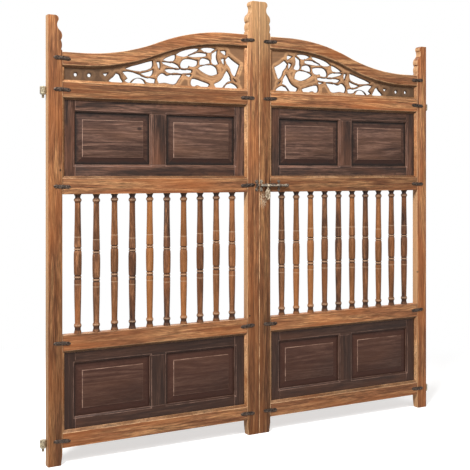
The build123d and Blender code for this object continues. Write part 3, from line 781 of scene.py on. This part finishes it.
def carved_board(node):
    """The pierced board in relief, its height falling away towards every window."""
    flat = merged_copy(node)
    front = min(v.co.y for v in flat.verts)
    back = max(v.co.y for v in flat.verts)
    loops = front_loops(flat, front)
    flat.free()
    rim = spaced(loops[0], mesh_step * 3)
    soft = [softened(loop) for loop in loops[1:]]
    cut_windows = []
    for loop in soft:
        if sum(hypot(a[0] - b[0], a[1] - b[1]) for a, b in zip(loop, loop[1:])) < small_hole_outline:
            cut_windows.append(spaced(grown(loop, small_hole_growth), mesh_step))
            continue
        wider = []
        slightly = grown(loop, window_growth)
        broadly = grown(loop, thick_wood_trial * window_growth_in_thick_wood)
        for a, little, much in zip(loop, slightly, broadly):
            others = [w for w in soft if w is not loop]
            best = a
            if inside(little, rim) and gap_to(little, rim) > window_growth:
                best = little
                if inside(much, rim) and gap_to(much, rim) > least_wood_left and not any(
                    inside(much, w) or gap_to(much, w) < least_wood_left for w in others
                ):
                    share = window_growth_in_thick_wood / hypot(much[0] - a[0], much[1] - a[1])
                    best = (a[0] + (much[0] - a[0]) * share, a[1] + (much[1] - a[1]) * share)
            wider.append(best)
        cut_windows.append(spaced(wider, mesh_step))
    spans = [
        (min(p[0] for p in w), max(p[0] for p in w), min(p[1] for p in w), max(p[1] for p in w))
        for w in cut_windows
    ]
    points, rings = [], []
    for loop in [rim] + cut_windows:
        rings.append(list(range(len(points), len(points) + len(loop))))
        points += loop
    edges = [(a, b) for ring in rings for a, b in zip(ring, ring[1:] + ring[:1])]

    def window_gap(p):
        best = relief * 3
        for w, (x0, x1, z0, z1) in zip(cut_windows, spans):
            if x0 - best < p[0] < x1 + best and z0 - best < p[1] < z1 + best:
                best = min(best, -1.0 if inside(p, w) else gap_to(p, w))
                if best < 0:
                    return best
        return best

    gaps = [0.0] * len(points)
    for i in range(len(rim)):
        gaps[i] = relief * 3
    x0, x1 = min(p[0] for p in rim), max(p[0] for p in rim)
    z0, z1 = min(p[1] for p in rim), max(p[1] for p in rim)
    row = 0
    z = z0
    while z < z1:
        x = x0 + (0.5 * mesh_step if row % 2 else 0)
        while x < x1:
            if inside((x, z), rim):
                gap = window_gap((x, z))
                if gap > mesh_step * 0.45:
                    points.append((x, z))
                    gaps.append(gap)
            x += mesh_step
        z += mesh_step * row_rise
        row += 1
    laid = delaunay_2d_cdt([Vector(p) for p in points], edges, [], 1, 1e-7)
    verts, faces, origins = laid[0], laid[2], laid[3]
    heights = [min(gaps[i] for i in o) if o else relief * 3 for o in origins]
    form = bmesh.new()
    crest = form.verts.layers.float.new("crest")

    def lay(sign, y, deep):
        made = []
        for v, gap in zip(verts, heights):
            share = min(1.0, gap / relief)
            fall = 1 - (1 - (1 - share) ** 2) ** 0.5
            ripple = 0.0006 * noise.noise(Vector((v.x * 90, 0, v.y * 90)))
            vert = form.verts.new((v.x, y + sign * (fall * deep + (ripple if share > 0.6 else 0)), v.y))
            vert[crest] = min(1.0, gap / relief / 3)
            made.append(vert)
        return made

    front_verts = lay(1, front + 0.0004, relief)
    back_verts = lay(-1, back, back_relief)
    kept = []
    for face in faces:
        middle = (sum(verts[i].x for i in face) / 3, sum(verts[i].y for i in face) / 3)
        if window_gap(middle) > 0 and inside(middle, rim):
            kept.append(face)
    for face in kept:
        form.faces.new([front_verts[i] for i in face])
        form.faces.new([back_verts[i] for i in reversed(face)])
    form.edges.ensure_lookup_table()
    front_set = set(front_verts)
    partner = dict(zip(front_verts, back_verts))
    for edge in [e for e in form.edges if e.verts[0] in front_set and len(e.link_faces) == 1]:
        loop = edge.link_faces[0].loops
        a, b = next((l.vert, l.link_loop_next.vert) for l in loop if l.edge is edge)
        form.faces.new([b, a, partner[a], partner[b]])
    form.verts.ensure_lookup_table()
    bmesh.ops.delete(form, geom=[v for v in form.verts if not v.link_faces], context="VERTS")
    bmesh.ops.recalc_face_normals(form, faces=form.faces)
    return form


def carving_colours(tree, here, colour):
    """Painted shade on the cut edges, tan crests with a knife's lines along their outlines, brown ground
    in the broad places, and grey wood at the plain outer end."""
    crest = stored(tree, "crest")
    # Painted shade where the relief falls away into a window, and on the window's walls.
    low = ranged(tree, crest, 0.13, 0.02, 0.0, 0.95)
    rubbed = ranged(tree, crest, 0.07, 0.2, 0.0, 0.5)
    colour = mixed(tree, rubbed, colour, tint("dba97c"))
    wander = place(tree, "ShaderNodeTexNoise", {"Vector": here, "Scale": 40.0, "Detail": 2.0})
    drawn = ranged(tree, wander.outputs[0], 0.42, 0.52, to_high=0.8)
    for middle_of_line in (0.23, 0.42):
        off = reckon(tree, "ABSOLUTE", reckon(tree, "SUBTRACT", crest, middle_of_line))
        line = ranged(tree, off, 0.05, 0.02)
        colour = mixed(tree, times(tree, line, drawn), colour, tint("4c2f1f"))
    ground = ranged(tree, crest, 0.75, 0.98, 0.0, 0.65)
    colour = mixed(tree, ground, colour, tint("5b3d2b"))
    colour = mixed(tree, low, colour, tint("3a2417"))
    across = place(tree, "ShaderNodeSeparateXYZ", {0: here}).outputs["X"]
    far = reckon(tree, "ABSOLUTE", across)
    plain = ranged(tree, far, 0.58, 0.78, 0.0, 0.85)
    return mixed(tree, plain, colour, tint("4f3b2b"))


carved_teak = old_wood(
    "carved_teak", (0.08, 1, 0.6), ("5d3b26", "94683f", "bb8a5e"), "d2a880", ring_scale=11.0,
    ring_count=5.0, stain=0.55, warm="a87248", roughness=0.68, relief=0.5, extra=carving_colours,
)
for side in ("left", "right"):
    board = carved_board(side + "_fretwork")
    finish_piece(
        side + "_carving", board, side + "_leaf", [carved_teak], 0.5, [side + "_fretwork"],
    )

# Spindles: ten to a leaf, turned on a lathe with a flared cap and foot, two pairs of rings and a
# long belly between them, and let into the rails by square ends. No two have the same colour.
spindle_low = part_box("left_spindle_01")[0]
spindle_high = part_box("left_spindle_01")[1]
socket_length, socket_half_width = 0.014, 0.007
turned_low, turned_high = spindle_low.z + socket_length, spindle_high.z - socket_length
spindle_profile = [
    # depth below the mid rail and radius, in millimetres
    (0, 15.8), (3, 15.2), (7, 12.6), (12, 11.0), (16, 11.2), (19, 13.6), (22, 15.8), (26, 16.2),
    (30, 15.4), (33, 13.0), (36, 12.3), (40, 12.2), (110, 13.0), (181, 14.5), (184, 13.9), (187, 14.7),
    (222, 15.3), (227, 15.4), (229, 13.6), (232, 13.4), (234, 15.4), (238, 15.6), (240, 14.0), (243, 14.2),
    (247, 16.0), (262, 16.7), (300, 16.6), (338, 15.8), (343, 15.2), (345, 13.7), (348, 13.6), (351, 15.2),
    (355, 15.3), (358, 13.9), (361, 13.9), (365, 15.2), (380, 15.2), (383, 14.6), (386, 15.1), (440, 14.4),
    (500, 13.0), (538, 12.3), (542, 12.3), (545, 14.4), (549, 15.8), (554, 15.6), (558, 13.4), (562, 12.6),
    (568, 12.8), (574, 14.6), (583, 16.0),
]
turning_sides = 20
pale_depths = (26, 184, 234, 238, 351, 355, 383, 549)
dark_depths = (7, 12, 16, 36, 229, 232, 240, 345, 348, 358, 361, 558, 562, 568)
# tone and share of orange wood of each spindle, from the hinge side inwards
spindle_looks = {
    "left": (
        (1.0, 0.2), (0.95, 0.2), (0.3, 0.3), (0.15, 0.0), (0.85, 0.9),
        (0.6, 0.0), (0.5, 0.6), (0.1, 0.0), (0.2, 0.2), (1.0, 0.3),
    ),
    "right": (
        (0.18, 0.0), (0.35, 0.2), (0.55, 0.5), (0.3, 0.1), (0.48, 0.5),
        (0.2, 0.0), (0.22, 0.1), (0.7, 0.8), (0.45, 0.5), (0.3, 0.2),
    ),
}


def turned_spindle():
    """One spindle on the Z axis, from its foot at zero, with square ends below and above."""
    form = bmesh.new()
    pale = form.verts.layers.float.new("pale")
    length = turned_high - turned_low
    scale = length / (spindle_profile[-1][0] / 1000)
    rings = []
    for depth, radius in reversed(spindle_profile):
        z = length - depth / 1000 * scale
        turns = [2 * pi * i / turning_sides for i in range(turning_sides)]
        rings.append([form.verts.new((radius / 1000 * cos(t), radius / 1000 * sin(t), z)) for t in turns])
        for vert in rings[-1]:
            vert[pale] = (depth in pale_depths) - (depth in dark_depths)
    for low, high in zip(rings, rings[1:]):
        for i in range(turning_sides):
            j = (i + 1) % turning_sides
            form.faces.new([low[i], low[j], high[j], high[i]])
    form.faces.new(list(reversed(rings[0])))
    form.faces.new(rings[-1])
    for z_min, z_max in ((-socket_length, 0.001), (length - 0.001, length + socket_length)):
        half = socket_half_width
        square = [(-half, -half), (half, -half), (half, half), (-half, half)]
        low = [form.verts.new((x, y, z_min)) for x, y in square]
        high = [form.verts.new((x, y, z_max)) for x, y in square]
        form.faces.new(list(reversed(low)))
        form.faces.new(high)
        for i in range(4):
            j = (i + 1) % 4
            form.faces.new([low[i], low[j], high[j], high[i]])
    mesh = bpy.data.meshes.new("turned_spindle")
    form.to_mesh(mesh)
    form.free()
    mesh.polygons.foreach_set("use_smooth", [True] * len(mesh.polygons))
    mesh.set_sharp_from_angle(angle=radians(40))
    return mesh


def geometry_tree(name, takes):
    """An empty Geometry Nodes tree, its inputs' identifiers by name, and its input node's outputs."""
    tree = bpy.data.node_groups.new(name, "GeometryNodeTree")
    sockets = {}
    for label, kind, value in takes:
        socket = tree.interface.new_socket(name=label, in_out="INPUT", socket_type="NodeSocket" + kind)
        if value is not None:
            socket.default_value = value
        sockets[label] = socket.identifier
    tree.interface.new_socket(name="Geometry", in_out="OUTPUT", socket_type="NodeSocketGeometry")
    return tree, sockets, tree.nodes.new("NodeGroupInput").outputs


def spindle_row_tree():
    """Sets a row of spindles out at an even pitch, each turned by chance on its axis and with its
    rings a little higher or lower than its neighbour's."""
    tree, sockets, given = geometry_tree("spindle_row", (
        ("Spindle", "Object", None), ("Count", "Int", 10), ("First X", "Float", 0.0),
        ("Pitch", "Float", 0.08), ("Y", "Float", 0.0), ("Foot Z", "Float", 0.5),
        ("Length", "Float", 0.6), ("Ring Shift", "Float", 0.02), ("Seed", "Int", 3),
        ("Wood", "Material", None),
    ))
    start = place(tree, "ShaderNodeCombineXYZ", {0: given["First X"], 1: given["Y"], 2: given["Foot Z"]})
    step = place(tree, "ShaderNodeCombineXYZ", {0: given["Pitch"]})
    row = place(tree, "GeometryNodeMeshLine", {
        "Count": given["Count"], "Start Location": start.outputs[0], "Offset": step.outputs[0],
    }, mode="OFFSET")
    model = place(tree, "GeometryNodeObjectInfo", {"Object": given["Spindle"]})
    turn = place(tree, "FunctionNodeRandomValue", {"Seed": given["Seed"], 3: 6.28}, data_type="FLOAT")
    angle = place(tree, "ShaderNodeCombineXYZ", {2: turn.outputs[1]})
    stood = place(tree, "GeometryNodeInstanceOnPoints", {
        "Points": row.outputs[0], "Instance": model.outputs["Geometry"], "Rotation": angle.outputs[0],
    })
    chance = place(
        tree, "FunctionNodeRandomValue", {"Seed": given["Seed"], 2: -1.0, 3: 1.0}, data_type="FLOAT",
    )
    named = place(tree, "GeometryNodeStoreNamedAttribute", {
        "Geometry": stood.outputs[0], "Name": "ring_shift", "Value": chance.outputs[1],
    }, data_type="FLOAT", domain="INSTANCE").outputs[0]
    real = place(tree, "GeometryNodeRealizeInstances", {"Geometry": named})
    height = place(tree, "ShaderNodeSeparateXYZ", {0: place(tree, "GeometryNodeInputPosition").outputs[0]})
    above = reckon(tree, "SUBTRACT", height.outputs["Z"], given["Foot Z"])
    share = reckon(tree, "DIVIDE", above, given["Length"])
    held = place(tree, "ShaderNodeClamp", {0: share})
    bow = reckon(tree, "SINE", times(tree, held.outputs[0], pi))
    chance = place(tree, "GeometryNodeInputNamedAttribute", {"Name": "ring_shift"}, data_type="FLOAT")
    moved = times(tree, times(tree, bow, chance.outputs[0]), given["Ring Shift"])
    lift = place(tree, "ShaderNodeCombineXYZ", {2: moved})
    shifted = place(tree, "GeometryNodeSetPosition", {"Geometry": real.outputs[0], "Offset": lift.outputs[0]})
    painted = place(
        tree, "GeometryNodeSetMaterial", {"Geometry": shifted.outputs[0], "Material": given["Wood"]},
    )
    out = tree.nodes.new("NodeGroupOutput")
    tree.links.new(painted.outputs[0], out.inputs[0])
    return tree, sockets


def baked(tree, sockets, name, values):
    """The plain mesh that a node tree makes with these values."""
    holder = bpy.data.objects.new(name, bpy.data.meshes.new(name + "_start"))
    scene.collection.objects.link(holder)
    modifier = holder.modifiers.new(name, "NODES")
    modifier.node_group = tree
    for label, value in values.items():
        modifier[sockets[label]] = value
    bpy.context.view_layer.update()
    graph = bpy.context.evaluated_depsgraph_get()
    mesh = bpy.data.meshes.new_from_object(holder.evaluated_get(graph))
    holder.modifiers.clear()
    holder.data = mesh
    mesh.name = name
    return holder


def spindle_hues(tree, here, colour):
    """Orange wood where the attribute says so, darker at both ends and in the turned grooves, and pale
    rubbed rings.
    """
    hue = stored(tree, "hue")
    colour = mixed(tree, times(tree, hue, 0.6), colour, tint("b5743c"))
    height = place(tree, "ShaderNodeSeparateXYZ", {0: here}).outputs["Z"]
    top = ranged(tree, height, turned_high - 0.035, turned_high - 0.012, to_high=0.85)
    foot = ranged(tree, height, turned_low + 0.05, turned_low, to_high=0.45)
    colour = mixed(tree, top, colour, tint("2c1b13"))
    colour = mixed(tree, foot, colour, tint("4a3224"))
    pale = stored(tree, "pale")
    rubbed = ranged(tree, pale, to_high=0.45)
    darker_in_grooves = ranged(tree, pale, high=-1.0, to_high=0.8)
    colour = mixed(tree, darker_in_grooves, colour, tint("2a1a12"))
    return mixed(tree, rubbed, colour, tint("d2b090"))


turned_teak = old_wood(
    "turned_teak", (1, 1, 0.07), ("3a2419", "634330", "875d3f"), "c9a47e", ring_scale=30.0,
    ring_count=5.0, stain=0.5, warm="a8683a", roughness=0.6, extra=spindle_hues,
)
spindle_model = bpy.data.objects.new("spindle_model", turned_spindle())
spindle_tree, spindle_sockets = spindle_row_tree()
for side, row_seed in (("left", 4), ("right", 11)):
    centres = sorted(sum(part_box(f"{side}_spindle_{i:02d}")[k].x for k in (0, 1)) / 2 for i in range(1, 11))
    low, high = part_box(side + "_spindle_01")
    row_piece = baked(spindle_tree, spindle_sockets, side + "_spindles", {
        "Spindle": spindle_model, "Count": 10, "First X": centres[0], "Pitch": (centres[-1] - centres[0]) / 9,
        "Y": (low.y + high.y) / 2, "Foot Z": turned_low, "Length": turned_high - turned_low,
        "Ring Shift": 0.014, "Seed": row_seed, "Wood": turned_teak,
    })
    tones, hues = [], []
    for vert in row_piece.data.vertices:
        outermost = abs(centres[0] if side == "left" else centres[-1])
        number = round((outermost - abs(vert.co.x)) / (centres[-1] - centres[0]) * 9)
        tones.append(spindle_looks[side][number][0])
        hues.append(spindle_looks[side][number][1])
    for label, values in (("tone", tones), ("hue", hues)):
        row_piece.data.attributes.new(label, "FLOAT", "POINT").data.foreach_set("value", values)
    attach(row_piece, side + "_leaf")
    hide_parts(*[f"{side}_spindle_{i:02d}" for i in range(1, 11)])
bpy.data.objects.remove(spindle_model)

# Straps: flat bars of wrought iron with both ends drawn to a point and turned into the wood, one
# over each joint. Their hammered faces are uneven, and two nails hold each. The one behind the
# bolt is hammered thin, with its nails set clear of the path of the tongue's eye.


def iron(name, dark, light, rust, rust_share=0.5, roughness=0.55, metallic=0.75):
    """Forged or cast metal with hammer marks, rust and rubbed high spots, and painted shade on the
    undersides that the attribute marks.
    """
    paint = bpy.data.materials.new(name)
    paint.use_nodes = True
    tree = paint.node_tree
    tree.nodes.clear()
    here = place(tree, "ShaderNodeTexCoord").outputs["Object"]
    age = group_node(tree, weathering, Vector=here, Stain_Scale=70.0, Chip_Scale=160.0)
    dent = place(tree, "ShaderNodeTexNoise", {"Vector": here, "Scale": 180.0, "Detail": 3.0})
    hollow = ranged(tree, dent.outputs[0], 0.38, 0.62)
    colour = mixed(tree, hollow, tint(dark), tint(light))
    colour = mixed(tree, times(tree, age.outputs["Stain"], rust_share), colour, tint(rust))
    arris = stored(tree, "worn")
    colour = mixed(tree, times(tree, arris, age.outputs["Chips"]), colour, tint(light))
    # Painted shade on the undersides.
    under = stored(tree, "under")
    colour = mixed(tree, times(tree, under, 0.85), colour, tint(dark))
    bump = place(tree, "ShaderNodeBump", {"Height": dent.outputs[0], "Strength": 0.5, "Distance": 0.0012})
    rough = ranged(tree, age.outputs["Stain"], 0.0, 1.0, roughness, roughness + 0.25)
    surface = place(tree, "ShaderNodeBsdfPrincipled", {
        "Base Color": colour, "Metallic": metallic, "Roughness": rough, "Normal": bump.outputs[0],
    })
    place(tree, "ShaderNodeOutputMaterial", {"Surface": surface.outputs[0]})
    return paint


forged_iron = iron("forged_iron", "17110e", "5c4e44", "442e22", roughness=0.45)


def forged_strap(form, middle, chance, thick=0.0042, nail_offsets=(-0.019, 0.019)):
    """A hammered bar between two drawn points, laid on the face of the wood."""
    half, high = 0.037, 0.0082
    across, along = 6, 22
    tilt = radians(chance.uniform(-4, 4))
    skew = chance.uniform(-1, 1)
    rows = []
    for i in range(along + 1):
        u = -1 + 2 * i / along
        width = high * (0.28 + 0.72 * min(1.0, (1 - abs(u)) / 0.3) ** 0.6)
        width *= 1 + 0.12 * noise.noise(Vector((u * 3, skew * 9, middle.z * 5)))
        ring = []
        for j in range(across * 2):
            angle = 2 * pi * (j + 0.5) / (across * 2)
            y = -max(0.0, sin(angle)) ** 0.6 * thick * (0.35 + 0.65 * min(1.0, (1 - abs(u)) / 0.22))
            z = cos(angle) * width
            y -= 0.0006 * noise.noise(Vector((u * 6 + skew * 20, j * 0.7, middle.x * 4))) if y < -0.001 else 0
            x = u * half
            across_x = middle.x + x * cos(tilt) - z * sin(tilt)
            up_z = middle.z + x * sin(tilt) + z * cos(tilt) + skew * 0.0015 * u * u
            ring.append(form.verts.new((across_x, middle.y + y, up_z)))
        rows.append(ring)
    for low, high_row in zip(rows, rows[1:]):
        for j in range(len(low)):
            k = (j + 1) % len(low)
            form.faces.new([low[j], low[k], high_row[k], high_row[j]])
    form.faces.new(list(reversed(rows[0])))
    form.faces.new(rows[-1])
    return [
        Vector((middle.x + off * cos(tilt), middle.y - thick * 0.9, middle.z + off * sin(tilt)))
        for off in nail_offsets
    ]


def nail_tree():
    """Hand-made nail heads on given points, each turned and sized by chance."""
    tree, sockets, given = geometry_tree("rose_head_nails", (
        ("Places", "Object", None), ("Head Radius", "Float", 0.0036), ("Head Height", "Float", 0.0016),
        ("Facets", "Int", 7), ("Seed", "Int", 5), ("Metal", "Material", None),
    ))
    points = place(tree, "GeometryNodeObjectInfo", {"Object": given["Places"]}, transform_space="ORIGINAL")
    cone = place(tree, "GeometryNodeMeshCone", {
        "Vertices": given["Facets"], "Radius Top": 0.0014, "Radius Bottom": given["Head Radius"],
        "Depth": given["Head Height"],
    })
    size = place(tree, "FunctionNodeRandomValue", {"Seed": given["Seed"], 2: 0.8, 3: 1.15}, data_type="FLOAT")
    turn = place(tree, "FunctionNodeRandomValue", {"Seed": given["Seed"], 3: 6.28}, data_type="FLOAT")
    angle = place(tree, "ShaderNodeCombineXYZ", {0: radians(90), 1: turn.outputs[1]})
    driven = place(tree, "GeometryNodeInstanceOnPoints", {
        "Points": points.outputs["Geometry"], "Instance": cone.outputs["Mesh"], "Rotation": angle.outputs[0],
        "Scale": size.outputs[1],
    })
    real = place(tree, "GeometryNodeRealizeInstances", {"Geometry": driven.outputs[0]})
    painted = place(
        tree, "GeometryNodeSetMaterial", {"Geometry": real.outputs[0], "Material": given["Metal"]},
    )
    out = tree.nodes.new("NodeGroupOutput")
    tree.links.new(painted.outputs[0], out.inputs[0])
    return tree, sockets


nail_nodes, nail_sockets = nail_tree()
tongue_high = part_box("hasp_tongue")[1]
thin_strap, clear_nail_offsets, near_the_eye = 0.0022, (0.0, 0.024), 0.02
for side in ("left", "right"):
    bars = merged_copy(side + "_iron_straps")
    middles = []
    for solid in islands(bars):
        points = [v.co for face in solid for v in face.verts]
        middles.append(Vector((
            (min(p.x for p in points) + max(p.x for p in points)) / 2, max(p.y for p in points),
            (min(p.z for p in points) + max(p.z for p in points)) / 2,
        )))
    bars.free()
    chance = Random(side + "straps")
    straps = bmesh.new()
    nail_places = []
    for middle in sorted(middles, key=lambda m: (round(m.x, 3), m.z)):
        if hypot(middle.x - tongue_high.x, middle.z - tongue_high.z) < near_the_eye:
            nail_places += forged_strap(straps, middle, chance, thin_strap, clear_nail_offsets)
        else:
            nail_places += forged_strap(straps, middle, chance)
    bmesh.ops.recalc_face_normals(straps, faces=straps.faces)
    finish_piece(
        side + "_straps_forged", straps, side + "_leaf", [forged_iron], 0.5,
        [side + "_iron_straps"],
    )
    place_mesh = bpy.data.meshes.new("nail_places")
    place_mesh.from_pydata([tuple(p) for p in nail_places], [], [])
    nail_points = bpy.data.objects.new("nail_places", place_mesh)
    scene.collection.objects.link(nail_points)
    nails = baked(
        nail_nodes, nail_sockets, side + "_strap_nails",
        {"Places": nail_points, "Seed": 5, "Metal": forged_iron},
    )
    bpy.data.objects.remove(nail_points)
    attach(nails, side + "_leaf")

# Hinges: forged eyes whose spikes go into the outer stiles' edges, on pins that a wall or a post
# would hold. Both are of pale iron, blotched with rust.
rubbed_iron = iron("rubbed_iron", "5a4c3e", "cbbf9f", "7d6244", rust_share=0.5, roughness=0.5, metallic=0.35)
for side in ("left", "right"):
    eyes = merged_copy(side + "_hinge_eyes")
    ease(eyes, 0.0008)
    finish_piece(
        side + "_eyes_eased", eyes, side + "_leaf", [rubbed_iron], 0.5,
        [side + "_hinge_eyes"],
    )
pins = merged_copy("hinge_pins")
ease(pins, 0.0006)
finish_piece("hinge_pins_eased", pins, "pins", [rubbed_iron], 0.5, ["hinge_pins"])

# Bolt: a round bar, rubbed grey and spotted with rust, that slides in two bridges on the right leaf
# towards a third on the left one. The bridge furthest right and the third one are browner. A
# slotted tongue of pale brass hangs from the bar.
worn_steel = iron("worn_steel", "3a2f28", "b9ad99", "59402f", rust_share=0.6, roughness=0.42, metallic=0.6)
brown_steel = iron("brown_steel", "2a201a", "85786a", "54382a", rust_share=0.7, roughness=0.5, metallic=0.6)
pale_brass = iron("pale_brass", "7d664a", "dccbb0", "5f4833", rust_share=0.4, roughness=0.5, metallic=0.4)
second_guide_from = 0.05
for node_name, body_name, slot_name, metal in (
    ("bolt_rod", "bolt", "worn_steel", worn_steel),
    ("bolt_guides", "right_leaf", "worn_steel", worn_steel),
    ("bolt_keeper", "left_leaf", "worn_steel", brown_steel),
    ("hasp_tongue", "hasp", "brass", pale_brass),
):
    fitting = merged_copy(node_name)
    ease(fitting, 0.0006)
    # Painted shade: the faces that look down are marked to be darkened.
    under_layer = fitting.faces.layers.float.new("under")
    for face in fitting.faces:
        face[under_layer] = face.normal.z < -0.25
        if node_name == "bolt_guides" and face.calc_center_median().x > second_guide_from:
            face.material_index = 1
    finish_piece(node_name + "_eased", fitting, body_name, [metal, brown_steel], 0.5, [node_name])

low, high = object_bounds()
